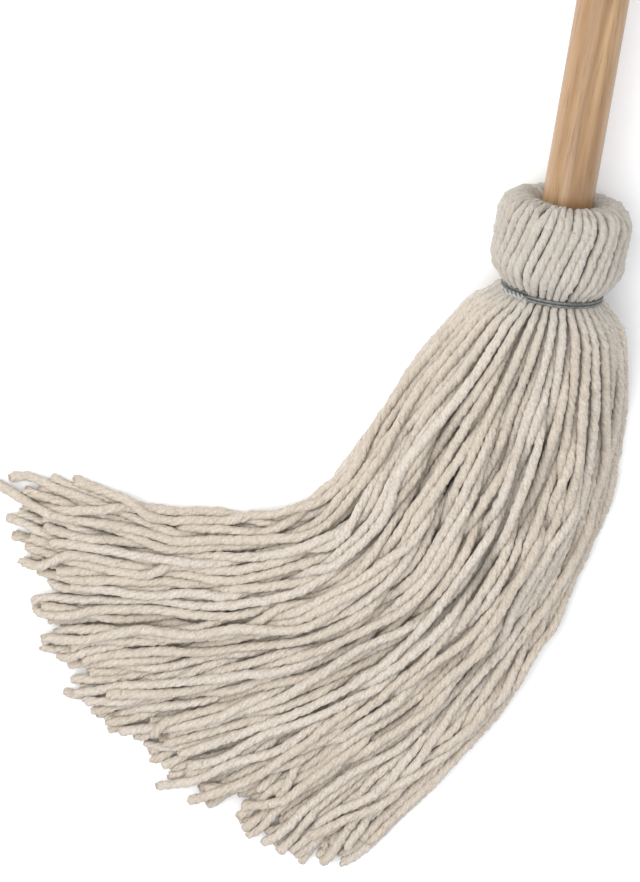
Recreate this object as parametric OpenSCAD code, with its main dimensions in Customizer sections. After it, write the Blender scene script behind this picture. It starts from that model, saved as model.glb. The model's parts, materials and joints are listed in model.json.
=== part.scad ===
// String mop: a wooden handle with a cotton yarn head bound onto its end.
//
// The yarn is laid along the handle end, bound with wire, folded down over the
// binding to make the bun, and tied again at the neck. Below the neck it hangs
// as a loose skirt, here lying flat and swept to one side.
//
// The head is worked out with the neck at x = 0, y = 0 and the floor at z = 0.
// +Y runs up the handle to its grip end, +Z is up, and -X is the side that the
// skirt is swept to. place() then moves the whole mop to its own origin, the
// middle of its footprint on the floor.

/* [Handle] */
// Diameter of the wooden handle
handle_d = 23.8; // [22:0.1:24]
// Length of the wooden handle
handle_len = 1372; // [900:1:1600]
// Radius of the rounding at the grip end
grip_round = 8; // [3:0.5:10]
// How far the handle reaches past the neck, inside the yarn
handle_past_neck = 2; // [1:0.5:10]
// Depth that the handle's end is turned down by, where the yarn is bound on
seat_depth = 0.3; // [0.2:0.1:1]

/* [Bun] */
// Diameter of the bun
bun_d = 63; // [62:0.5:66]
// Height of the bun along the handle
bun_h = 40.5; // [39:0.5:44]
// Radius of the fold at the top of the bun
fold_r = 10.5; // [10.5:0.1:13]
// Radius of the curve that draws the bun in to the neck
bun_curve_r = 10; // [9:0.5:13]
// Number of folded yarn locks around the bun
bun_locks = 12; // [8:1:16]

/* [Ties] */
// Diameter of the binding wire
wire_d = 1.6; // [1.2:0.1:1.6]
// Turns of binding wire
wire_turns = 6; // [4:1:6]
// Diameter of the tie at the neck
tie_d = 1.4; // [1.2:0.1:1.8]
// Diameter of the yarn inside the neck tie
neck_d = 45; // [43:0.1:50]
// Wire diameter of the staples that hold the binding
staple_d = 1.2; // [1:0.1:1.3]

/* [Skirt] */
// Locks side by side across the skirt
skirt_columns = 12; // [8:1:12]
// Length of the skirt's yarn below the neck, on the side it is swept to
yarn_near = 292; // [270:1:320]
// Length of the skirt's yarn below the neck, on the other side
yarn_far = 346; // [300:1:360]
// Extra length of the yarn in the middle of the skirt
yarn_middle = 24; // [0:1:40]
// Greatest height of the skirt at its tips
tip_h = 15; // [10:0.5:20]
// Share of a lock's width and height that its yarn fills
lock_fill = 0.9; // [0.8:0.01:0.92]

/* [Hidden] */

wood = [0.80, 0.65, 0.48];
yarn = [0.87, 0.83, 0.77];
steel = [0.62, 0.63, 0.64];

clear = 0.3;
touch = 0.15;
slack = 1;
round_fn = 96;
small_fn = 24;
wire_sides = 8;

// Steps round each curve
wire_steps = 24;
tie_steps = 36;
twist_steps = 24;
grip_steps = 12;
curve_steps = 8;
fold_steps = 16;

// Along the handle, measured up from the neck
bun_floor = 2.2;
bun_top = bun_floor + bun_h;
handle_r = handle_d / 2;
bun_r = bun_d / 2;
fold_at = bun_top - fold_r;
fold_mid_r = bun_r - fold_r;
curve_rise = 8.6;
curve_at = bun_floor + curve_rise;
// The seat ends where the fold's surface comes this close to the handle
mouth_gap = 1;
mouth_over = fold_mid_r - handle_r - mouth_gap;
seat_to = fold_at + sqrt(max(0, fold_r * fold_r - mouth_over * mouth_over)) + clear;
bore_r = handle_r + clear;
seat_r = handle_r - seat_depth;
hollow_r = 20;
hollow_top = 24;

// Yarn under the binding, and the ball of yarn that the skirt turns about
root_r = 16.8;
root_top = hollow_top - slack / 2;
pivot_drop = 16;
ball_r = 27.5;
neck_r = neck_d / 2;

// Heights: the bun lies on the floor, and so does the grip end
grip_at = handle_len - handle_past_neck;
tilt = asin((bun_r - handle_r) / (grip_at - grip_round - fold_at));
neck_z = bun_r + fold_at * sin(tilt);
pivot_z = neck_z + pivot_drop * sin(tilt);

// The skirt's yarn turns away from the handle's line as it runs out. Each list
// holds its direction, in degrees towards -X, at equal steps from neck to tip.
turn_near = [28, 22, 19, 76, 95, 100];
turn_far = [-22, 0, 15, 21, 32, 37];
near_share = 1.15;
middle_shift = 1.6;
path_steps = 40;
skirt_start = 46;
skirt_neck_r = 29;
// Height of the skirt at equal steps from neck to tip
flat_heights = [57, 52, 42, 31, 21, tip_h];
flat_by = 70;
edge_power = 4;
edge_drop = 0.75;
corner_power = 0.6;
neck_round = 0.95;
layers = 2;
lock_sides = 10;
lock_rings = 14;

function clamp01(x) = min(max(x, 0), 1);
// Pushes a point of a circle out towards the corners of a square
function squared(x) = sign(x) * pow(abs(x), corner_power);
function smooth(x) = let (c = clamp01(x)) c * c * (3 - 2 * c);
function along(list, t) =
    let (n = len(list) - 1, x = clamp01(t) * n, i = min(floor(x), n - 1))
    list[i] + (list[i + 1] - list[i]) * (x - i);

// across runs from -1 on the -X side of the skirt to 1 on the +X side
function near(across) = (1 - across) / 2;
function yarn_len(across) =
    yarn_far + (yarn_near - yarn_far) * near(across)
    + yarn_middle * sin(180 * pow(near(across), middle_shift));
function turn(across, t) =
    let (share = pow(near(across), near_share))
    along(turn_far, t) * (1 - share) + along(turn_near, t) * share;

// Points down the middle of a strand, from the neck to its tip
function strand(across) =
    let (step = yarn_len(across) / path_steps)
    [for (i = 0, p = [across * skirt_neck_r, 0];
          i <= path_steps;
          p = p + step * [-sin(turn(across, (i + 0.5) / path_steps)),
                          -cos(turn(across, (i + 0.5) / path_steps))],
          i = i + 1) p];

// Floor and ceiling of the skirt: round at the neck, flat on the floor further out
function underside(across, run) =
    let (flat = smooth(run / flat_by))
    (1 - flat) * (neck_z - skirt_neck_r * sqrt(1 - neck_round * across * across));
function topside(across, run) =
    let (flat = smooth(run / flat_by),
         edge = 1 - edge_drop * pow(abs(across), edge_power))
    (1 - flat) * (neck_z + skirt_neck_r * sqrt(1 - neck_round * across * across))
    + flat * edge * along(flat_heights, run / yarn_len(across));

// One point of the skirt: across it, out along it, and up it from 0 to 1
function skirt_point(path, across, t, up) =
    let (run = t * yarn_len(across),
         x = clamp01(t) * path_steps,
         i = min(floor(x), path_steps - 1),
         p = path[i] + (path[i + 1] - path[i]) * (x - i))
    [p[0], p[1], underside(across, run) + up * (topside(across, run) - underside(across, run))];

// Rings of one lock: a rounded outline around its own share of the skirt
function lock_rings_of(column, layer) =
    let (mid = -1 + (2 * column + 1) / skirt_columns,
         half = lock_fill / skirt_columns,
         half_up = (1 + lock_fill) / 2 / (2 * layers),
         mid_up = layer == 0 ? half_up : 1 - half_up,
         outline = [for (k = [0:lock_sides - 1])
             let (a = 360 * (k + 0.5) / lock_sides)
             [mid + half * squared(cos(a)), mid_up + half_up * squared(sin(a))]],
         paths = [for (q = outline) strand(q[0])])
    [for (r = [0:lock_rings])
        [for (k = [0:lock_sides - 1])
            let (first = skirt_start / yarn_len(outline[k][0]),
                 t = first + (1 - first) * r / lock_rings)
            skirt_point(paths[k], outline[k][0], t, outline[k][1])]];

// The mop's footprint, from strands all the way across the skirt and the grip end
edge_strands = 24;
edge_across = 1 - (1 - lock_fill) / skirt_columns;
edge_paths = [for (k = [0:edge_strands]) strand((2 * k / edge_strands - 1) * edge_across)];
skirt_x = [for (path = edge_paths, p = path) p[0]];
skirt_y = [for (path = edge_paths, p = path) p[1]];
grip_y = fold_at + (grip_at - fold_at) * cos(tilt);
middle_x = (min(skirt_x) + max(concat(skirt_x, [bun_r]))) / 2;
middle_y = (min(skirt_y) + grip_y) / 2;

echo(pivot = [-middle_x, -pivot_drop * cos(tilt) - middle_y, pivot_z]);
echo(neck = [-middle_x, -middle_y, neck_z], tilt = tilt);
echo(grip_middle = [-middle_x,
                    fold_at + ((seat_to + grip_at - grip_round) / 2 - fold_at) * cos(tilt) - middle_y,
                    bun_r - ((seat_to + grip_at - grip_round) / 2 - fold_at) * sin(tilt)],
     grip_length = grip_at - grip_round - seat_to,
     axis = [0, cos(tilt), -sin(tilt)]);

// Moves the finished mop to its own origin
module place() {
    translate([-middle_x, -middle_y, 0]) children();
}

// Turns a piece made along +Z, up from the neck, onto the handle's line
module on_handle() {
    place()
        translate([0, fold_at, bun_r])
            rotate([-90 - tilt, 0, 0])
                translate([0, 0, -fold_at])
                    children();
}

function arc(centre, r, from, to, steps) =
    [for (i = [0:steps])
        let (a = from + (to - from) * i / steps)
        centre + r * [cos(a), sin(a)]];

// A solid through rings of points, closed at both ends
module loft(rings) {
    n = len(rings[0]);
    m = len(rings);
    polyhedron(
        points = [for (ring = rings, p = ring) p],
        faces = concat(
            [[for (k = [n - 1:-1:0]) k]],
            [for (r = [0:m - 2], k = [0:n - 1])
                [r * n + k, r * n + (k + 1) % n, (r + 1) * n + (k + 1) % n, (r + 1) * n + k]],
            [[for (k = [0:n - 1]) (m - 1) * n + k]]
        ),
        convexity = 6
    );
}

// A round wire wound about the handle's line from one height to another
module coil(r, from, to, turns, d, per_turn) {
    steps = turns * per_turn;
    rise = (to - from) / steps;
    loft([for (i = [0:steps])
        let (a = 360 * i / per_turn)
        [for (k = [0:wire_sides - 1])
            let (b = -360 * k / wire_sides)
            [(r + d / 2 * cos(b)) * cos(a),
             (r + d / 2 * cos(b)) * sin(a),
             from + rise * i + d / 2 * sin(b)]]]);
}

module handle() {
    color(wood)
        on_handle()
            rotate_extrude($fn = round_fn)
                polygon(concat(
                    [[0, -handle_past_neck], [seat_r, -handle_past_neck],
                     [seat_r, seat_to], [handle_r, seat_to]],
                    arc([handle_r - grip_round, grip_at - grip_round], grip_round, 0, 90, grip_steps),
                    [[0, grip_at]]
                ));
}

binding_r = root_r + touch + wire_d / 2;
binding_from = 9.8;
binding_to = 20.6;

module binding_wire() {
    color(steel)
        on_handle()
            coil(binding_r, binding_from, binding_to, wire_turns, wire_d, wire_steps);
}

staple_crown_r = binding_r + wire_d / 2 + touch + staple_d / 2;
staple_depth = 5;
staple_gap = (wire_d + staple_d) / 2 + touch;
staple_legs = [binding_from - staple_gap, binding_to + staple_gap];

// A crown over the wire and two legs through the yarn into the wood
module staple() {
    leg = staple_crown_r - (handle_r - staple_depth);
    translate([staple_crown_r, 0, staple_legs[0]])
        cylinder(d = staple_d, h = staple_legs[1] - staple_legs[0], $fn = small_fn);
    for (at = staple_legs)
        translate([staple_crown_r, 0, at]) {
            sphere(d = staple_d, $fn = small_fn);
            rotate([0, -90, 0])
                cylinder(d = staple_d, h = leg, $fn = small_fn);
        }
}

module binding_staples() {
    color(steel)
        on_handle()
            for (side = [0, 180])
                rotate([0, 0, side]) staple();
}

tie_r = neck_r + touch + tie_d / 2;
tie_turns = 2;
tie_to = 0.2;
tie_from = tie_to - tie_turns * (tie_d + touch);
tie_end_angle = 240;
groove_to = tie_from - tie_d / 2 - clear;

// The yarn inside the head: wrapped round the handle end and gathered below it
module yarn_root() {
    color(yarn)
        on_handle()
            rotate_extrude($fn = round_fn)
                polygon(concat(
                    [[0, -handle_past_neck - clear], [seat_r + clear, -handle_past_neck - clear],
                     [seat_r + clear, root_top], [root_r, root_top],
                     [root_r, bun_floor - clear], [neck_r, bun_floor - clear],
                     [neck_r, groove_to]],
                    arc([0, -pivot_drop], ball_r, asin((groove_to + pivot_drop) / ball_r), -90, fold_steps)
                ));
}

module neck_tie() {
    color(steel)
        on_handle()
            rotate([0, 0, tie_end_angle])
                coil(tie_r, tie_from, tie_to, tie_turns, tie_d, tie_steps);
}

twist_len = 11;
twist_turns = 2.5;
twist_gap = 0.4;

// The two ends of the neck tie, twisted together and laid against the yarn
module neck_tie_twist() {
    wire_r = tie_d / 2;
    offset = wire_r + touch / 2;
    color(steel)
        on_handle()
            rotate([0, 0, tie_end_angle])
                translate([tie_r + tie_d / 2 + offset + wire_r + clear, 0, (tie_from + tie_to) / 2])
                    rotate([90, 0, 0])
                        for (end = [0, 180])
                            loft([for (i = [0:twist_steps])
                                let (a = end + 360 * twist_turns * i / twist_steps,
                                     z = twist_gap + twist_len * i / twist_steps,
                                     mid = offset * [cos(a), sin(a)])
                                [for (k = [0:wire_sides - 1])
                                    let (b = 360 * k / wire_sides)
                                    [mid[0] + wire_r * cos(b), mid[1] + wire_r * sin(b), z]]]);
}

// Half section of the bun: drawn in below, straight, then folded over to the handle
function bun_section() =
    let (curve_mid = bun_r - bun_curve_r,
         foot_angle = -asin(curve_rise / bun_curve_r),
         fold_end = acos(max(-1, (bore_r - fold_mid_r) / fold_r)))
    concat(
        [[hollow_r, bun_floor]],
        arc([curve_mid, curve_at], bun_curve_r, foot_angle, 0, curve_steps),
        arc([fold_mid_r, fold_at], fold_r, 0, fold_end, fold_steps),
        [[bore_r, hollow_top], [hollow_r, hollow_top]]
    );

module bun_lock(i) {
    share = 360 / bun_locks;
    color(yarn)
        on_handle()
            rotate([0, 0, (i - 0.5) * share + slack / 2])
                rotate_extrude(angle = share - slack, $fn = round_fn)
                    polygon(bun_section());
}

module skirt_lock(i, layer) {
    color(yarn)
        place()
            loft(lock_rings_of(i - 1, layer));
}

handle();
binding_wire();
binding_staples();
yarn_root();
neck_tie();
neck_tie_twist();
for (i = [1:bun_locks]) bun_lock(i);
for (i = [1:skirt_columns]) skirt_lock(i, 1);
for (i = [1:skirt_columns]) skirt_lock(i, 0);
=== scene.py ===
"""String mop: every strand of its yarn, the wooden handle, the wire ties, a pale floor and soft light.

The strands are laid out from the same few driving sizes as the CAD skirt, settled against each other
and the floor by a small seeded solver, and then spun from four plies each. All lengths are in metres.
"""

import json
import math
from types import SimpleNamespace

import bpy
import numpy as np
from mathutils import Matrix, Vector


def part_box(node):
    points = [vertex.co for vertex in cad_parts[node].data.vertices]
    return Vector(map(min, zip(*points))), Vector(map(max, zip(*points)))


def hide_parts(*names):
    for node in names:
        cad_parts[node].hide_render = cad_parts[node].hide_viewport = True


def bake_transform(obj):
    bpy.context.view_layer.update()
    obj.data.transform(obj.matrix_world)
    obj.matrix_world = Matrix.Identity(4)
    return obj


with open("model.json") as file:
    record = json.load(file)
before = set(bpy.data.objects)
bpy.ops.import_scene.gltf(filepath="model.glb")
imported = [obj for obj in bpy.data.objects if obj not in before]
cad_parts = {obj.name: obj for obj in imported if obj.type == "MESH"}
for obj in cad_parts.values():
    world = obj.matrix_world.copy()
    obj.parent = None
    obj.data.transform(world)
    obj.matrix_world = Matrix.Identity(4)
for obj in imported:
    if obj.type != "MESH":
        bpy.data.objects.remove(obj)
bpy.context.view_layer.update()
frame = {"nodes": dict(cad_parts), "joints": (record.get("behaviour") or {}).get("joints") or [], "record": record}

# ---------------------------------------------------------------- the frame
MOUNT = frame["record"]["mounts"][0]
PIVOT = np.array(frame["joints"][0]["pos_m"])
UP_HANDLE = np.array(MOUNT["axis"])
HANDLE_R = MOUNT["dims"]["r_mm"] / 1000
BUN_NODES = [n for n in frame["nodes"] if n.startswith("bun_lock")]
SKIRT_NODES = [n for n in frame["nodes"] if n.startswith("skirt")]
SIDE = np.array([1.0, 0.0, 0.0])
FACE = np.cross(SIDE, UP_HANDLE)

# The hinge is this far down the handle's line from the neck
PIVOT_DROP = 0.016
NECK = PIVOT + PIVOT_DROP * UP_HANDLE
BUN_R = max(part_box(n)[1][0] for n in BUN_NODES) - NECK[0]
BUN_TOP = max(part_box(n)[1][1] for n in BUN_NODES) - NECK[1]

# ---------------------------------------------------------------- the yarn
# Four plies twisted together, and the spacing of the points that they are made of
YARN_D = 0.0046
YARN_R = YARN_D / 2
PLIES = 4
PLY_R = 0.00160
PLY_OFFSET = 0.00074
TWIST_PITCH = 0.020
RING_SPACING = 0.0015
PLY_SIDES = 8

# Unevenness of the twist, the thickness and the surface, with the run over which each changes
TWIST_WANDER = 0.5
TWIST_WANDER_RUN = 0.05
PLUMPNESS = 0.06
PLUMPNESS_RUN = 0.02
PLY_LUMPS = 0.12
COARSE_LUMP_RUN = 0.008
FINE_LUMP_RUN = 0.003
NAP = 0.20

# The cut end: the plies part over the last of the strand, and each tapers at its own cut
FRAY = (0.1, 0.9)
FRAY_RUN = 0.014
CUT_RUN = 0.0022
CUT_NOISE = 0.003
CUT_TAPER = 0.45
FLOOR_SKIN = 0.0002

# What the yarn's material is told: where a gap between plies begins for its painted shade, how far below the neck
# the painted shade of the bun's yarn reaches, and how the tints vary
GAP_FROM = 0.52
GAP_RUN = 0.40
BARE_RUN = 0.02
BUN_SHADE_RUN = 0.025
TINT_SHARE = 0.8
PLY_TINT = 0.2
PLY_SHIFT = 0.7

# Three layers of strands, and the radius at which each is held in the tie
OUTER_STRANDS = 40
SECOND_STRANDS = 30
CORE_STRANDS = 68
OUTER_NECK_R = 0.0179
SECOND_NECK_R = 0.0140
CORE_NECK_R = 0.0110
LAYER_GAP = 0.0042
PLACE_NOISE = 0.12
CORE_HEIGHTS = [0.014, 0.006, 0.0]
CORE_TUCK = 0.6

# The fold over the top of the bun, the curve that draws it in to the neck, and the strands' lean
FOLD_R = 0.0105
FOLD_MID_R = BUN_R - FOLD_R
FOLD_AT = BUN_TOP - FOLD_R
CURVE_R = 0.010
CURVE_AT = 0.0108
CURVE_END = math.radians(72)
YARN_START = 0.022
BUN_LEAN = math.radians(17)
BUN_WAVE = 0.035
BUN_RUN = 0.090
BUN_WAVE_RUN = 0.016
LEAN_WAVE = 0.16
LEAN_NOISE = 0.08
INNER_TUCK = 0.75
FOLD_COS_LEAST = -0.98
FOLD_STEPS = 12
CURVE_STEPS = 8

# The skirt, as in the CAD: directions in degrees towards -X at equal steps from neck to tip
TURN_NEAR = [28, 22, 19, 76, 95, 100]
TURN_FAR = [-22, 0, 15, 21, 32, 37]
NEAR_SHARE = 1.15
LEN_NEAR = 0.292
LEN_FAR = 0.346
LEN_MIDDLE = 0.024
MIDDLE_SHIFT = 1.6
SKIRT_NECK_R = 0.029
SKIRT_EDGE = 0.975
NECK_FLARE = 0.55
FLARE_RUN = 0.017
NECK_FILL = SKIRT_NECK_R / (SKIRT_NECK_R - YARN_R)
NECK_ROUND = 0.95
LEAST_CHORD = 0.05
PAST_TIP = 1.08
HEIGHTS = [0.057, 0.052, 0.042, 0.031, 0.021, 0.015]
FLAT_BY = 0.070
EDGE_POWER = 4
EDGE_DROP = 0.75
PATH_STEPS = 40
TABLE_ROWS = 81

# The tie presses the strands thinner, from its middle at this drop below the neck
TIE_DROP = 0.00135
TIE_REACH = 0.0060
TIE_SQUEEZE = 0.23
LEAST_WIDTH = 0.50
MOST_DEPTH = 1.2
SECOND_CROWD = 1.3
CROWD_FROM = 0.005
CROWD_RUN = 0.055
CORE_SQUEEZE = 0.18
CORE_FROM = 0.01
CORE_RUN = 0.05

# How the strands lie in clumps of a few, and how they wander on the way to their tips
CLUMP_SIZES = (3, 8)
CLUMP_LENGTHS = (-0.012, 0.009)
CLUMP_SWAY = 0.025
ORDER_NOISE = 0.02
EVEN_SHARE = 0.50
STRAND_NOISE = 0.006
SHORT_STRANDS = 0.020
SPREAD_LEAD = 0.01
SPREAD_RUN = 0.13
LOOSE_FROM = 0.01
LOOSE_RUN = 0.14
WIDE_SWAY = 0.056
WIDE_SWAY_RUN = 0.070
FINE_SWAY = 0.033
FINE_SWAY_RUN = 0.026
LIFT = 0.42
LIFT_RUN = 0.05

# The points of a strand, and how its first path is smoothed at the neck
POINT_SPACING = 0.004
NECK_POINTS = 4
NECK_SMOOTHING = 3
SMOOTHING_SHARE = 0.25

# The settling of the strands: a pull to where they were laid out, a fall, and a push apart
SETTLE_STEPS = 160
PAIR_EVERY = 20
PAIR_REACH = 1.5
PAIR_BLOCK = 256
SAME_STRAND = 3
HELD_RUN = 0.001
EASE_RUN = 0.05
HOLD = 0.03
HOLD_LOSS = 0.7
FALL = 0.00006
PUSH_ROUNDS = 2
PUSH_SHARE = 0.45
CURL_SHARE = 0.35
NECK_SIZE = 0.80
SIZE_GAIN = 0.20
SIZE_RUN = 0.07
NEVER_ZERO = 1e-9
SEED = 11


def smooth(x):
    """Eases from 0 to 1 as x goes from 0 to 1, and holds both ends."""
    c = np.clip(x, 0, 1)
    return c * c * (3 - 2 * c)


def along(values, t):
    """A value from an evenly spaced list, at a share t of the way along it."""
    return np.interp(t, np.linspace(0, 1, len(values)), values)


def wander(rng, at, scale):
    """Smooth random values from -1 to 1 that change over about the length scale."""
    knots = rng.uniform(-1, 1, int(at[-1] / scale) + 3)
    x = at / scale
    i = np.floor(x).astype(int)
    return knots[i] + (knots[i + 1] - knots[i]) * smooth(x - i)


# ---------------------------------------------------------------- the skirt's shape
def yarn_len(across):
    """How far the skirt's yarn runs from the neck, at a place across it from -1 to 1."""
    near = (1 - across) / 2
    return LEN_FAR + (LEN_NEAR - LEN_FAR) * near + LEN_MIDDLE * np.sin(np.pi * near ** MIDDLE_SHIFT)


def flow_table():
    """Where the skirt's flow lines run: one row of points for each place across the neck."""
    across = np.linspace(-1, 1, TABLE_ROWS)[:, None]
    t = (np.arange(PATH_STEPS) + 0.5)[None, :] / PATH_STEPS
    share = ((1 - across) / 2) ** NEAR_SHARE
    heading = np.radians(along(TURN_FAR, t) * (1 - share) + along(TURN_NEAR, t) * share)
    step = yarn_len(across) / PATH_STEPS
    moves = np.stack([-np.sin(heading) * step, -np.cos(heading) * step], axis=2)
    start = np.concatenate([across * SKIRT_NECK_R, np.zeros_like(across)], axis=1)[:, None, :]
    return np.concatenate([start, start + np.cumsum(moves, axis=1)], axis=1)


FLOW = flow_table()


def skirt_point(across, run, up):
    """The middle of a strand, from its place across the skirt, its run from the neck, and its height."""
    row = np.clip((across + 1) / 2, 0, 1) * (TABLE_ROWS - 1)
    col = np.clip(run / yarn_len(across), 0, PAST_TIP) * PATH_STEPS
    r = np.minimum(row.astype(int), TABLE_ROWS - 2)
    c = np.minimum(col.astype(int), PATH_STEPS - 1)
    fr = (row - r)[:, None]
    fc = (col - c)[:, None]
    xy = (FLOW[r, c] * (1 - fc) + FLOW[r, c + 1] * fc) * (1 - fr)
    xy += (FLOW[r + 1, c] * (1 - fc) + FLOW[r + 1, c + 1] * fc) * fr
    flat = smooth(run / FLAT_BY)
    bulge = SKIRT_NECK_R * np.sqrt(np.clip(1 - NECK_ROUND * across ** 2, 0, 1))
    edge = 1 - EDGE_DROP * np.abs(across) ** EDGE_POWER
    floor = (1 - flat) * (NECK[2] - bulge)
    ceiling = (1 - flat) * (NECK[2] + bulge) + flat * edge * along(HEIGHTS, run / yarn_len(across))
    z = floor + YARN_R + up * np.maximum(ceiling - floor - YARN_D, 0)
    return np.column_stack([NECK[0] + xy[:, 0], NECK[1] + xy[:, 1], z])


# ---------------------------------------------------------------- the bun's shape
def on_handle(at, r, angle):
    """Points around the handle's line: at is up from the neck, and angle turns from +X to the front."""
    around = np.cos(angle)[:, None] * SIDE + np.sin(angle)[:, None] * FACE
    return NECK + at[:, None] * UP_HANDLE + r[:, None] * around


def bun_profile(inset, neck_r):
    """Heights and radii of a folded strand, from the binding over the fold to the neck."""
    fold = FOLD_R - inset
    inner = HANDLE_R + YARN_R * INNER_TUCK
    start = math.acos(max(FOLD_COS_LEAST, (inner - FOLD_MID_R) / fold))
    arc = np.linspace(start, 0, FOLD_STEPS)
    curve = CURVE_R - inset
    down = np.linspace(0, -CURVE_END, CURVE_STEPS)
    at = [[YARN_START], FOLD_AT + fold * np.sin(arc), CURVE_AT + curve * np.sin(down), [0]]
    r = [[inner], FOLD_MID_R + fold * np.cos(arc), BUN_R - CURVE_R + curve * np.cos(down), [neck_r]]
    return np.concatenate(at), np.concatenate(r)


def resample(points, spacing):
    """Evenly spaced points along a path."""
    runs = np.concatenate([[0], np.cumsum(np.linalg.norm(np.diff(points, axis=0), axis=1))])
    n = max(2, int(round(runs[-1] / spacing)))
    even = np.linspace(0, runs[-1], n + 1)
    return np.column_stack([np.interp(even, runs, points[:, k]) for k in range(3)])


def curve_through(points, spacing):
    """A smooth path through the settled points, as evenly spaced points."""
    p = np.vstack([2 * points[0] - points[1], points, 2 * points[-1] - points[-2]])
    n = len(points) - 1
    steps_between = 4
    u = np.arange(n * steps_between + 1) / steps_between
    i = np.minimum(u.astype(int), n - 1)
    f = (u - i)[:, None]
    a, b, c, d = p[i], p[i + 1], p[i + 2], p[i + 3]
    smooth_points = 0.5 * (2 * b + (c - a) * f + (2 * a - 5 * b + 4 * c - d) * f ** 2
                           + (3 * b - 3 * c + d - a) * f ** 3)
    return resample(smooth_points, spacing)


# ---------------------------------------------------------------- laying out the strands
class Strand:
    """One strand: its kind, its place at the neck, and the points that it follows."""

    def __init__(self, kind, neck_r, angle):
        self.kind = kind
        self.neck_r = neck_r
        self.angle = angle
        self.across = neck_r * math.cos(angle) / SKIRT_NECK_R
        self.height = neck_r * math.sin(angle) / SKIRT_NECK_R


def make_strands(rng):
    """The strands' places in the tie: two rings that fold over the bun, and a core that doesn't."""
    strands = []
    rings = (("outer", OUTER_STRANDS, OUTER_NECK_R), ("second", SECOND_STRANDS, SECOND_NECK_R))
    for kind, count, r in rings:
        for k in range(count):
            place = k + 0.5 + rng.uniform(-PLACE_NOISE, PLACE_NOISE)
            strands.append(Strand(kind, r, 2 * math.pi * place / count))
    golden = math.pi * (3 - math.sqrt(5))
    for k in range(CORE_STRANDS):
        strands.append(Strand("core", CORE_NECK_R * math.sqrt((k + 0.5) / CORE_STRANDS), k * golden))
    return strands


def place_at_tips(strands, rng):
    """Spreads the strands evenly across the skirt's tips, in clumps of a few that lie together."""
    order = sorted(strands, key=lambda s: s.across + ORDER_NOISE * rng.uniform(-1, 1))
    count = len(order)
    k = 0
    while k < count:
        clump = order[k:k + rng.integers(*CLUMP_SIZES)]
        middle = -1 + 2 * (k + len(clump) / 2) / count
        drift = rng.uniform(*CLUMP_LENGTHS)
        sway = rng.uniform(-CLUMP_SWAY, CLUMP_SWAY)
        by_height = sorted(clump, key=lambda s: s.height)
        for j, strand in enumerate(clump):
            even = -1 + 2 * (k + j + 0.5) / count
            strand.tip_across = even * EVEN_SHARE + middle * (1 - EVEN_SHARE) + sway
            strand.tip_up = (by_height.index(strand) + 0.5) / len(clump)
            strand.extra = drift + rng.uniform(-STRAND_NOISE, STRAND_NOISE)
            strand.extra -= SHORT_STRANDS * rng.uniform(0, 1) ** 3
            strand.tint = rng.uniform(-1, 1)
        k += len(clump)


def head_path(strand, rng):
    """The strand's points above the neck: over the bun, or along the handle's end."""
    if strand.kind == "core":
        at = np.array([YARN_START, *CORE_HEIGHTS])
        beside = HANDLE_R + YARN_R
        r = np.array([beside, beside, HANDLE_R + YARN_R * CORE_TUCK, strand.neck_r])
        angle = np.full(len(at), strand.angle)
    else:
        inset = YARN_R if strand.kind == "outer" else YARN_R + LAYER_GAP
        at, r = bun_profile(inset, strand.neck_r)
        lean = BUN_LEAN * (1 + LEAN_WAVE * math.sin(3 * strand.angle + 1) + LEAN_NOISE * rng.uniform(-1, 1))
        wave = BUN_WAVE * wander(rng, np.linspace(0, BUN_RUN, len(at)), BUN_WAVE_RUN)
        angle = strand.angle - lean * smooth(at / BUN_TOP) + wave
    return resample(on_handle(at, r, angle), POINT_SPACING)[:-1]


def skirt_path(strand, rng):
    """The strand's points below the neck, as it spreads from its place in the tie to its clump."""
    length = yarn_len(strand.tip_across) + strand.extra
    run = np.linspace(0, length, int(length / POINT_SPACING) + 1)
    share = smooth((run + SPREAD_LEAD) / SPREAD_RUN)
    chord = math.sqrt(max(1 - strand.across ** 2, LEAST_CHORD))
    up_neck = 0.5 + 0.5 * strand.height / chord * NECK_FILL
    loose = smooth((run - LOOSE_FROM) / LOOSE_RUN)
    flare = 1 + NECK_FLARE * smooth(run / FLARE_RUN)
    up_neck = 0.5 + (up_neck - 0.5) * flare
    across = strand.across * flare
    across = across + (strand.tip_across - across) * share
    across = across + loose * (WIDE_SWAY * wander(rng, run, WIDE_SWAY_RUN)
                               + FINE_SWAY * wander(rng, run, FINE_SWAY_RUN))
    up = up_neck + (strand.tip_up - up_neck) * share + LIFT * loose * wander(rng, run, LIFT_RUN)
    up = np.clip(up, 0, 1)
    return skirt_point(np.clip(across, -SKIRT_EDGE, SKIRT_EDGE), run, up)


def lay_out(strand, rng):
    """The strand's first path, from the binding to its tip, smoothed where it passes the tie."""
    head = head_path(strand, rng)
    strand.head_points = len(head)
    strand.points = np.vstack([head, skirt_path(strand, rng)])
    at_neck = np.abs(np.arange(1, len(strand.points) - 1) - len(head)) <= NECK_POINTS
    for _ in range(NECK_SMOOTHING):
        sag = strand.points[:-2] - 2 * strand.points[1:-1] + strand.points[2:]
        strand.points[1:-1] += SMOOTHING_SHARE * sag * at_neck[:, None]


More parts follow.
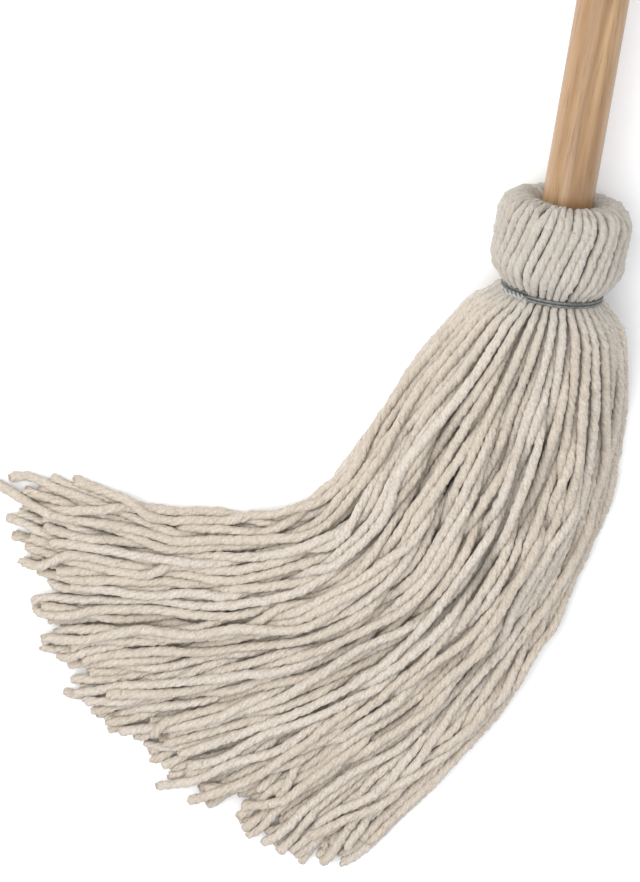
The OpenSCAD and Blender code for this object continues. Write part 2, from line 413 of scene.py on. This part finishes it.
# ---------------------------------------------------------------- settling
def close_pairs(p, reach, owner, index):
    """Pairs of points nearer than reach that aren't neighbours on one strand."""
    firsts, seconds = [], []
    order = np.argsort(p[:, 1])
    q, own, ind = p[order].astype(np.float32), owner[order], index[order]
    ends = np.searchsorted(q[:, 1], q[:, 1] + reach)
    for a in range(0, len(q), PAIR_BLOCK):
        b = min(a + PAIR_BLOCK, len(q))
        last = ends[b - 1]
        gap = q[a:b, None, :] - q[None, a:last, :]
        near = np.einsum("ijk,ijk->ij", gap, gap) < reach * reach
        i, j = np.nonzero(near)
        i, j = i + a, j + a
        keep = (i < j) & ((own[i] != own[j]) | (np.abs(ind[i] - ind[j]) > SAME_STRAND))
        firsts.append(order[i[keep]])
        seconds.append(order[j[keep]])
    return np.concatenate(firsts), np.concatenate(seconds)


def push_apart(p, pairs, wanted, free):
    """Moves each pair of points that is nearer than wanted a little further apart."""
    a, b = pairs
    both = np.concatenate([a, b])
    gap = p[a] - p[b]
    dist = np.linalg.norm(gap, axis=1) + NEVER_ZERO
    push = np.maximum(wanted - dist, 0) * PUSH_SHARE
    move = gap / dist[:, None] * push[:, None]
    sums = np.column_stack([np.bincount(both, np.concatenate([move[:, k], -move[:, k]]), len(p))
                            for k in range(3)])
    touching = np.bincount(both, np.tile(push > 0, 2), len(p))
    p += sums / np.maximum(touching, 1)[:, None] ** 0.5 * free[:, None]


def keep_length(p, link, length, free):
    """Brings each link between a point and the next back to its length."""
    gap = p[link + 1] - p[link]
    dist = np.linalg.norm(gap, axis=1) + NEVER_ZERO
    fix = gap * ((dist - length) / dist)[:, None]
    w0, w1 = free[link].astype(float), free[link + 1].astype(float)
    total = np.maximum(w0 + w1, 1)
    p[link] += fix * (w0 / total)[:, None]
    p[link + 1] -= fix * (w1 / total)[:, None]


def settle(strands):
    """Moves the strands apart and down onto the floor, keeping their length and the way they lie."""
    p = np.vstack([s.points for s in strands])
    owner = np.concatenate([np.full(len(s.points), k) for k, s in enumerate(strands)])
    index = np.concatenate([np.arange(len(s.points)) for s in strands])
    run = np.concatenate([(np.arange(len(s.points)) - s.head_points) * POINT_SPACING for s in strands])
    free = run > HELD_RUN
    ease = smooth(run / EASE_RUN)
    pull = HOLD * (1 - HOLD_LOSS * ease)
    target = p.copy()
    size = YARN_D * (NECK_SIZE + SIZE_GAIN * smooth(run / SIZE_RUN))
    link = np.nonzero(owner[:-1] == owner[1:])[0]
    length = np.linalg.norm(p[link + 1] - p[link], axis=1)
    inner = link[1:][owner[link[1:] - 1] == owner[link[1:] + 1]]
    bend = (p[inner - 1] + p[inner + 1]) / 2 - p[inner]
    halves = [index[link] % 2 == k for k in (0, 1)]
    for step in range(SETTLE_STEPS):
        if step % PAIR_EVERY == 0:
            pairs = close_pairs(p, YARN_D * PAIR_REACH, owner, index)
            wanted = (size[pairs[0]] + size[pairs[1]]) / 2
        p += (target - p) * pull[:, None] * free[:, None]
        p[:, 2] -= FALL * ease * free
        for _ in range(PUSH_ROUNDS):
            push_apart(p, pairs, wanted, free)
        curl = (p[inner - 1] + p[inner + 1]) / 2 - p[inner] - bend
        p[inner] += CURL_SHARE * curl * free[inner][:, None]
        for half in halves:
            keep_length(p, link[half], length[half], free)
        low = free & (p[:, 2] < YARN_R)
        p[low, 2] = YARN_R
    for k, strand in enumerate(strands):
        strand.points = p[owner == k]


# ---------------------------------------------------------------- spinning the yarn
def cross_vectors(path):
    """Unit vectors outward and sideways from the path, turning as little as they can along it."""
    ahead = np.gradient(path, axis=0)
    ahead /= np.linalg.norm(ahead, axis=1)[:, None]
    outward = path[0] - NECK
    outward -= outward @ UP_HANDLE * UP_HANDLE
    normals = np.empty_like(path)
    n = outward
    for k, t in enumerate(ahead):
        n = n - (n @ t) * t
        n = n / np.linalg.norm(n)
        normals[k] = n
    return normals, np.cross(ahead, normals)


def crowding(strand, path, run):
    """How far the strand is squeezed sideways, where too many share the bun's fold and the neck."""
    if strand.kind == "core":
        return 1 - CORE_SQUEEZE * (1 - smooth((run - CORE_FROM) / CORE_RUN))
    count = OUTER_STRANDS if strand.kind == "outer" else SECOND_STRANDS * SECOND_CROWD
    from_line = path - NECK
    at = from_line @ UP_HANDLE
    r = np.linalg.norm(from_line - at[:, None] * UP_HANDLE, axis=1)
    room = 2 * math.pi * r / (count * YARN_D)
    squeeze = np.clip(room, LEAST_WIDTH, 1)
    return squeeze + (1 - squeeze) * smooth((run - CROWD_FROM) / CROWD_RUN)


def around_ring(values):
    """Repeats a value for each ring at every point of the ring."""
    return np.repeat(values[:, None], PLY_SIDES, axis=1)


def spin_ply(ply, strand, spine, rng):
    """One ply's grid of points, with what the material needs to know at each of them.

    The grid holds the points, their places in the fibre, how deep they lie between the plies (turned into
    painted shade in the gaps), the tint, how near they are to the cut end, and how near to the bun (turned into
    painted shade on the bun's yarn).
    """
    cut = spine.length - rng.uniform(0, CUT_NOISE)
    stop = np.searchsorted(spine.at, cut)
    at = spine.at[:stop]
    angle = spine.twist[:stop] + 2 * math.pi * ply / PLIES
    parted = 1 + spine.fray * smooth((at - spine.length + FRAY_RUN) / FRAY_RUN) ** 2
    offset = PLY_OFFSET * spine.plump[:stop] * parted
    coarse = PLY_LUMPS * wander(rng, at, COARSE_LUMP_RUN)
    fine = PLY_LUMPS * wander(rng, at, FINE_LUMP_RUN)
    r = PLY_R * spine.plump[:stop] * (1 + coarse + fine)
    r = r * (1 - CUT_TAPER * smooth((at - cut + CUT_RUN) / CUT_RUN))
    nap = r[:, None] * (1 + NAP * rng.uniform(-1, 1, (stop, PLY_SIDES)))
    ring = 2 * math.pi * np.arange(PLY_SIDES) / PLY_SIDES
    u = offset[:, None] * np.cos(angle)[:, None] + nap * np.cos(ring)
    v = offset[:, None] * np.sin(angle)[:, None] + nap * np.sin(ring)
    # How deep each point lies between the plies, which the material darkens as painted shade
    depth = 1 - smooth((np.hypot(u, v) / (PLY_OFFSET + PLY_R) - GAP_FROM) / GAP_RUN)
    sideways = (u * spine.narrow[:stop, None])[:, :, None] * spine.side[:stop, None]
    outward = (v * spine.deep[:stop, None])[:, :, None] * spine.normal[:stop, None]
    points = strand.path[:stop, None] + sideways + outward
    points[:, :, 2] = np.maximum(points[:, :, 2], FLOOR_SKIN)
    own_angle = ring - angle[:, None]
    fibre = np.stack([r[:, None] * np.cos(own_angle), r[:, None] * np.sin(own_angle),
                      around_ring(at) + PLY_SHIFT * ply], axis=2)
    shade = np.full(depth.shape, strand.tint * TINT_SHARE + rng.uniform(-PLY_TINT, PLY_TINT))
    bare = around_ring(smooth((at - spine.length + BARE_RUN) / BARE_RUN))
    # How near the bun, where the material greys the yarn as painted shade
    bun_shade = around_ring(smooth(1 - spine.run[:stop] / BUN_SHADE_RUN))
    return points, fibre, depth, shade, bare, bun_shade


def spin(strand, rng):
    """The strand's surface, as a grid for each ply, round a spine of evenly spaced rings."""
    strand.path = curve_through(strand.points, RING_SPACING)
    at = np.arange(len(strand.path)) * RING_SPACING
    spine = SimpleNamespace(at=at, length=at[-1], run=at - strand.head_points * POINT_SPACING)
    spine.normal, spine.side = cross_vectors(strand.path)
    spine.narrow = crowding(strand, strand.path, spine.run)
    from_tie = np.abs((strand.path - NECK) @ UP_HANDLE + TIE_DROP)
    squeeze = 1 - TIE_SQUEEZE * smooth(2 - from_tie / TIE_REACH)
    spine.deep = np.minimum(1 / spine.narrow, MOST_DEPTH) * squeeze
    phase = rng.uniform(0, 2 * math.pi)
    steady = phase + 2 * math.pi * at / TWIST_PITCH
    spine.twist = steady + TWIST_WANDER * wander(rng, at, TWIST_WANDER_RUN)
    spine.plump = 1 + PLUMPNESS * wander(rng, at, PLUMPNESS_RUN)
    spine.fray = rng.uniform(*FRAY)
    return [spin_ply(ply, strand, spine, rng) for ply in range(PLIES)]


def tube_faces(first, rows, sides):
    """The corners of a closed tube's faces, and how many corners each face has."""
    k = np.arange(sides)
    after = (k + 1) % sides
    row = first + np.arange(rows - 1)[:, None] * sides
    quads = np.stack([row + k, row + after, row + sides + after, row + sides + k], axis=2)
    corners = np.concatenate([quads.reshape(-1), first + k[::-1], first + (rows - 1) * sides + k])
    counts = np.concatenate([np.full((rows - 1) * sides, 4), np.full(2, sides)])
    return corners, counts


def mesh_from_grids(name, grids):
    """One mesh of closed tubes, with the yarn's facts on its points."""
    tubes, total = [], 0
    for points, *_ in grids:
        tubes.append(tube_faces(total, *points.shape[:2]))
        total += points.shape[0] * points.shape[1]
    corner_of = np.concatenate([corners for corners, _ in tubes]).astype(np.int32)
    sizes = np.concatenate([counts for _, counts in tubes])
    mesh = bpy.data.meshes.new(name)
    mesh.vertices.add(total)
    mesh.loops.add(len(corner_of))
    mesh.polygons.add(len(sizes))
    mesh.vertices.foreach_set("co", np.concatenate([g[0].reshape(-1, 3) for g in grids]).ravel())
    mesh.loops.foreach_set("vertex_index", corner_of)
    mesh.polygons.foreach_set("loop_start", np.concatenate([[0], np.cumsum(sizes)[:-1]]).astype(np.int32))
    mesh.update(calc_edges=True)
    mesh.shade_smooth()
    fibre = mesh.attributes.new("fibre", "FLOAT_VECTOR", "POINT")
    fibre.data.foreach_set("vector", np.concatenate([g[1].reshape(-1, 3) for g in grids]).ravel())
    for k, key in ((2, "depth"), (3, "tint"), (4, "bare"), (5, "bun_shade")):
        value = mesh.attributes.new(key, "FLOAT", "POINT")
        value.data.foreach_set("value", np.concatenate([g[k].ravel() for g in grids]).astype(np.float32))
    piece = bpy.data.objects.new(name, mesh)
    bpy.context.scene.collection.objects.link(piece)
    return piece


# ---------------------------------------------------------------- materials
def new_material(name):
    """A material with its node tree and its shader."""
    material = bpy.data.materials.new(name)
    material.use_nodes = True
    tree = material.node_tree
    return material, tree, tree.nodes["Principled BSDF"]


def add(tree, kind, **values):
    """A node with its properties and its unlinked inputs set."""
    node = tree.nodes.new(kind)
    for key, value in values.items():
        if key in node.inputs:
            node.inputs[key].default_value = value
        else:
            setattr(node, key, value)
    return node


def math_node(tree, operation, a, b):
    """The output of a sum or product of two sockets or numbers."""
    node = add(tree, "ShaderNodeMath", operation=operation)
    for k, value in enumerate((a, b)):
        if isinstance(value, (int, float)):
            node.inputs[k].default_value = value
        else:
            tree.links.new(value, node.inputs[k])
    return node.outputs[0]


def scaled(tree, value, share, start):
    """The output of start plus a share of a value."""
    return math_node(tree, "ADD", math_node(tree, "MULTIPLY", value, share), start)


def mix_colour(tree, factor, a, b):
    """Colour a turned to colour b by the factor. Each may be a socket, a number or a colour."""
    node = add(tree, "ShaderNodeMix", data_type="RGBA")
    for socket, value in ((node.inputs["Factor"], factor), (node.inputs[6], a), (node.inputs[7], b)):
        if isinstance(value, (int, float)):
            socket.default_value = value
        elif isinstance(value, tuple):
            socket.default_value = (*value, 1)
        else:
            tree.links.new(value, socket)
    return node.outputs[2]


def ramp(tree, factor, *stops):
    """Turns a factor into a grey or a colour, through stops of a place and a value each."""
    node = add(tree, "ShaderNodeValToRGB")
    elements = node.color_ramp.elements
    while len(elements) < len(stops):
        elements.new(1)
    for element, (place, value) in zip(elements, stops):
        element.position = place
        element.color = (value, value, value, 1) if isinstance(value, (int, float)) else (*value, 1)
    tree.links.new(factor, node.inputs[0])
    return node.outputs[0]


CREAM_DARK = (0.53, 0.46, 0.38)
CREAM_LIGHT = (0.67, 0.60, 0.515)
CREAM_PALE = (0.67, 0.62, 0.555)
STREAK_BROWN = (0.36, 0.30, 0.235)
LINT_BROWN = (0.34, 0.28, 0.22)
# Painted shade: the brown that the gaps between the plies are darkened towards
GAP_SHADE_BROWN = (0.28, 0.195, 0.120)
SEED_BROWN = (0.27, 0.20, 0.13)
CUT_END_BROWN = (0.46, 0.385, 0.30)
# Painted shade: the grey that the yarn on the bun and just below the neck is turned towards
BUN_SHADE_GREY = (0.335, 0.34, 0.33)

# How far the tint, the painted shade in the gaps between plies, the cut ends and the painted shade on the bun's
# yarn change the cream
TINT_STRENGTH = 0.5
GAP_SHADE_STRENGTH = 0.58
CUT_END_STRENGTH = 0.22
BUN_SHADE_STRENGTH = 0.34
ALONG_FIBRE = (1, 1, 0.16)


def cotton_material():
    """Natural twisted cotton: cream fibres with painted shade between the plies and on the bun's yarn, seed flecks
    and a soft nap.
    """
    material, tree, shader = new_material("cotton_yarn")
    fibre = add(tree, "ShaderNodeAttribute", attribute_name="fibre").outputs["Vector"]
    depth = add(tree, "ShaderNodeAttribute", attribute_name="depth").outputs["Fac"]
    tint = add(tree, "ShaderNodeAttribute", attribute_name="tint").outputs["Fac"]
    bare = add(tree, "ShaderNodeAttribute", attribute_name="bare").outputs["Fac"]
    bun_shade = add(tree, "ShaderNodeAttribute", attribute_name="bun_shade").outputs["Fac"]
    stretched = add(tree, "ShaderNodeVectorMath", operation="MULTIPLY")
    stretched.inputs[1].default_value = ALONG_FIBRE
    tree.links.new(fibre, stretched.inputs[0])
    streaks = add(tree, "ShaderNodeTexNoise", Scale=2600, Detail=4, Roughness=0.62)
    lint = add(tree, "ShaderNodeTexNoise", Scale=900, Detail=3, Roughness=0.7, Distortion=0.6)
    blotches = add(tree, "ShaderNodeTexNoise", Scale=55, Detail=3, Roughness=0.6)
    flecks = add(tree, "ShaderNodeTexNoise", Scale=420, Detail=1, Roughness=0.4)
    tree.links.new(stretched.outputs[0], streaks.inputs["Vector"])
    tree.links.new(fibre, lint.inputs["Vector"])
    tree.links.new(fibre, blotches.inputs["Vector"])
    tree.links.new(fibre, flecks.inputs["Vector"])
    blotch = ramp(tree, blotches.outputs["Fac"], (0.30, 0.0), (0.70, 1.0))
    cream = mix_colour(tree, blotch, CREAM_DARK, CREAM_LIGHT)
    shift = scaled(tree, tint, TINT_STRENGTH, 0.5)
    cream = mix_colour(tree, shift, cream, CREAM_PALE)
    streak = ramp(tree, streaks.outputs["Fac"], (0.35, 0.30), (0.62, 0.0))
    streaky = mix_colour(tree, streak, cream, STREAK_BROWN)
    tuft = ramp(tree, lint.outputs["Fac"], (0.36, 0.55), (0.56, 0.0))
    streaky = mix_colour(tree, tuft, streaky, LINT_BROWN)
    # Painted shade darkens the gaps between the plies
    deep = mix_colour(tree, math_node(tree, "MULTIPLY", depth, GAP_SHADE_STRENGTH), streaky, GAP_SHADE_BROWN)
    fleck = ramp(tree, flecks.outputs["Fac"], (0.725, 0.0), (0.76, 0.55))
    seeded = mix_colour(tree, fleck, deep, SEED_BROWN)
    cut_end = math_node(tree, "MULTIPLY", bare, CUT_END_STRENGTH)
    tips = mix_colour(tree, cut_end, seeded, CUT_END_BROWN)
    # Painted shade greys the yarn on the bun and just below the neck
    grey = math_node(tree, "MULTIPLY", bun_shade, BUN_SHADE_STRENGTH)
    greyed = mix_colour(tree, grey, tips, BUN_SHADE_GREY)
    tree.links.new(greyed, shader.inputs["Base Color"])
    bump = add(tree, "ShaderNodeBump", Strength=0.75, Distance=0.0007)
    fine = math_node(tree, "MULTIPLY", streaks.outputs["Fac"], 0.5)
    height = math_node(tree, "ADD", fine, lint.outputs["Fac"])
    tree.links.new(height, bump.inputs["Height"])
    tree.links.new(bump.outputs["Normal"], shader.inputs["Normal"])
    rough = scaled(tree, streaks.outputs["Fac"], 0.12, 0.82)
    tree.links.new(rough, shader.inputs["Roughness"])
    shader.inputs["Sheen Weight"].default_value = 0.22
    shader.inputs["Sheen Roughness"].default_value = 0.5
    shader.inputs["Specular IOR Level"].default_value = 0.25
    return material


WOOD_DARK = (0.195, 0.107, 0.045)
WOOD_MIDDLE = (0.310, 0.180, 0.084)
WOOD_LIGHT = (0.435, 0.280, 0.146)
WOOD_RED = (0.355, 0.208, 0.113)
WOOD_SAP = (0.53, 0.355, 0.212)
WOOD_PORE = (0.148, 0.078, 0.034)
ALONG_GRAIN = (1, 0.06, 1)


def wood_material():
    """Pale turned wood under a satin lacquer, with straight grain along the handle."""
    material, tree, shader = new_material("wood")
    place = add(tree, "ShaderNodeTexCoord").outputs["Object"]
    stretched = add(tree, "ShaderNodeMapping")
    stretched.inputs["Scale"].default_value = ALONG_GRAIN
    tree.links.new(place, stretched.inputs["Vector"])
    figure = add(tree, "ShaderNodeTexNoise", Scale=85, Detail=4, Roughness=0.55, Distortion=0.9)
    pores = add(tree, "ShaderNodeTexNoise", Scale=900, Detail=3, Roughness=0.7)
    broad = add(tree, "ShaderNodeTexNoise", Scale=30, Detail=2)
    sapwood = add(tree, "ShaderNodeTexNoise", Scale=52, Detail=2, Distortion=0.7)
    for node in (figure, pores, broad, sapwood):
        tree.links.new(stretched.outputs[0], node.inputs["Vector"])
    base = ramp(tree, figure.outputs["Fac"], (0.32, WOOD_DARK), (0.50, WOOD_MIDDLE), (0.66, WOOD_LIGHT))
    base = mix_colour(tree, ramp(tree, broad.outputs["Fac"], (0.35, 0.0), (0.65, 0.45)), base, WOOD_RED)
    base = mix_colour(tree, ramp(tree, sapwood.outputs["Fac"], (0.48, 0.0), (0.62, 0.55)), base, WOOD_SAP)
    base = mix_colour(tree, ramp(tree, pores.outputs["Fac"], (0.30, 0.5), (0.48, 0.0)), base, WOOD_PORE)
    tree.links.new(base, shader.inputs["Base Color"])
    bump = add(tree, "ShaderNodeBump", Strength=0.25, Distance=0.0003)
    tree.links.new(pores.outputs["Fac"], bump.inputs["Height"])
    tree.links.new(bump.outputs["Normal"], shader.inputs["Normal"])
    rough = scaled(tree, figure.outputs["Fac"], 0.18, 0.32)
    tree.links.new(rough, shader.inputs["Roughness"])
    shader.inputs["Coat Weight"].default_value = 0.15
    shader.inputs["Coat Roughness"].default_value = 0.30
    return material


def wire_material(name, dark, light):
    """Galvanized steel wire, dull and lightly mottled."""
    material, tree, shader = new_material(name)
    place = add(tree, "ShaderNodeTexCoord").outputs["Object"]
    mottle = add(tree, "ShaderNodeTexNoise", Scale=600, Detail=4, Roughness=0.6)
    tree.links.new(place, mottle.inputs["Vector"])
    base = ramp(tree, mottle.outputs["Fac"], (0.30, dark), (0.70, light))
    tree.links.new(base, shader.inputs["Base Color"])
    rough = scaled(tree, mottle.outputs["Fac"], 0.30, 0.40)
    tree.links.new(rough, shader.inputs["Roughness"])
    bump = add(tree, "ShaderNodeBump", Strength=0.3, Distance=0.0001)
    tree.links.new(mottle.outputs["Fac"], bump.inputs["Height"])
    tree.links.new(bump.outputs["Normal"], shader.inputs["Normal"])
    shader.inputs["Metallic"].default_value = 0.6
    return material


FLOOR_DIM = (0.93, 0.935, 0.945)
FLOOR_BRIGHT = (0.94, 0.945, 0.955)


def floor_material():
    """A plain matte white sweep with the faintest mottling."""
    material, tree, shader = new_material("floor_white")
    mottle = add(tree, "ShaderNodeTexNoise", Scale=3, Detail=2)
    base = ramp(tree, mottle.outputs["Fac"], (0.3, FLOOR_DIM), (0.7, FLOOR_BRIGHT))
    tree.links.new(base, shader.inputs["Base Color"])
    shader.inputs["Roughness"].default_value = 0.9
    shader.inputs["Specular IOR Level"].default_value = 0.1
    return material


# ---------------------------------------------------------------- camera, light and floor
CAMERA_TILT = math.radians(18)
CAMERA_ROLL = math.radians(9.2)
CAMERA_AWAY = 2.2
CAMERA_LENS = 190
SENSOR_WIDTH = 36
AIM_FROM_NECK = np.array([-0.0949, -0.0975, -0.016])
AIM = NECK + AIM_FROM_NECK
WORLD_STRENGTH = 0.78
WORLD_COLOUR = (0.97, 0.98, 1.0, 1)
KEY_COLOUR = (1.0, 0.985, 0.96)
FILL_COLOUR = (0.93, 0.96, 1.0)
FLOOR_HALF = 40
FLOOR_GAP = 0.0002
CLIP_PAST_FLOOR = 10


def make_camera():
    """Looks down at the head from the handle's side, with the handle leaning to the right."""
    data = bpy.data.cameras.new("camera")
    data.lens = CAMERA_LENS
    data.sensor_width = SENSOR_WIDTH
    data.clip_end = FLOOR_HALF + CLIP_PAST_FLOOR
    camera = bpy.data.objects.new("camera", data)
    bpy.context.scene.collection.objects.link(camera)
    back = Vector((0, math.sin(CAMERA_TILT), math.cos(CAMERA_TILT)))
    level_up = Vector((0, math.cos(CAMERA_TILT), -math.sin(CAMERA_TILT)))
    right = Vector((math.cos(CAMERA_ROLL), 0, 0)) + math.sin(CAMERA_ROLL) * level_up
    up = back.cross(right)
    turn = Matrix((right, up, back)).transposed()
    camera.matrix_world = Matrix.Translation(Vector(AIM) + back * CAMERA_AWAY) @ turn.to_4x4()
    bpy.context.scene.camera = camera


def make_light(name, direction, away, size, power, colour):
    """A round soft light that faces the camera's aim from a direction."""
    data = bpy.data.lights.new(name, "AREA")
    data.shape = "DISK"
    data.size = size
    data.energy = power
    data.color = colour
    light = bpy.data.objects.new(name, data)
    bpy.context.scene.collection.objects.link(light)
    toward = Vector(direction).normalized()
    light.location = Vector(AIM) + toward * away
    light.rotation_mode = "QUATERNION"
    light.rotation_quaternion = toward.to_track_quat("Z", "Y")
    light.visible_camera = False


def make_world():
    """Even pale light from all round."""
    world = bpy.data.worlds.new("world")
    bpy.context.scene.world = world
    world.use_nodes = True
    background = world.node_tree.nodes["Background"]
    background.inputs["Color"].default_value = WORLD_COLOUR
    background.inputs["Strength"].default_value = WORLD_STRENGTH


def make_floor():
    """One large matte sheet, just under the lowest strands."""
    mesh = bpy.data.meshes.new("floor")
    corners = [(x * FLOOR_HALF, y * FLOOR_HALF, 0) for x, y in ((-1, -1), (1, -1), (1, 1), (-1, 1))]
    mesh.from_pydata(corners, [], [(0, 1, 2, 3)])
    floor = bpy.data.objects.new("floor", mesh)
    bpy.context.scene.collection.objects.link(floor)
    mesh.materials.append(floor_material())
    floor.location.z = -FLOOR_GAP


# ---------------------------------------------------------------- putting it together
# How many inner strands go into one piece
STRANDS_A_PIECE = 9


def finish_yarn(piece, cotton):
    """Yarn is cotton, and its place is baked into its mesh."""
    piece.data.materials.append(cotton)
    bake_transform(piece)


def build_yarn(cotton):
    """Every strand: each outer one as a piece of its own, and the inner ones a few to a piece."""
    rng = np.random.default_rng(SEED)
    strands = make_strands(rng)
    place_at_tips(strands, rng)
    for strand in strands:
        lay_out(strand, rng)
    settle(strands)
    spun = [spin(strand, rng) for strand in strands]
    pieces = []
    inner = []
    for strand, grids in zip(strands, spun):
        if strand.kind == "outer":
            piece = mesh_from_grids(f"outer_strand_{len(pieces) + 1}", grids)
            finish_yarn(piece, cotton)
            pieces.append((piece, strand.path))
        else:
            inner.append((strand, grids))
    inner.sort(key=lambda pair: pair[0].tip_across)
    for k in range(0, len(inner), STRANDS_A_PIECE):
        some = inner[k:k + STRANDS_A_PIECE]
        name = f"inner_strands_{k // STRANDS_A_PIECE + 1}"
        piece = mesh_from_grids(name, [grid for _, grids in some for grid in grids])
        finish_yarn(piece, cotton)
        pieces.append((piece, np.vstack([strand.path for strand, _ in some])))
    return pieces


def stand_in_for_locks():
    """Hides each yarn solid of the CAD, since the strands take its place."""
    for node in BUN_NODES + SKIRT_NODES + ["yarn_root"]:
        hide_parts(node)


def dress(node, material):
    """Gives a CAD node its material, without changing its shape."""
    mesh = frame["nodes"][node].data
    mesh.materials.clear()
    mesh.materials.append(material)


make_camera()
make_floor()
make_world()
make_light("key", direction=(-0.42, 0.26, 1.0), away=2.2, size=2.9, power=55, colour=KEY_COLOUR)
make_light("fill", direction=(0.9, -0.2, 0.9), away=2.6, size=1.8, power=8, colour=FILL_COLOUR)
bpy.context.scene.view_settings.view_transform = "Standard"

yarn_pieces = build_yarn(cotton_material())
stand_in_for_locks()
dress("handle", wood_material())
wire = wire_material("galvanized_wire", dark=(0.34, 0.35, 0.34), light=(0.58, 0.59, 0.58))
# The neck tie's wire is coloured very dark as painted shade of the groove under the bun
groove_shade = wire_material("groove_shade_wire", dark=(0.09, 0.095, 0.09), light=(0.24, 0.245, 0.24))
for wire_node in ("binding_wire", "binding_staples", "neck_tie_twist"):
    dress(wire_node, wire)
dress("neck_tie", groove_shade)
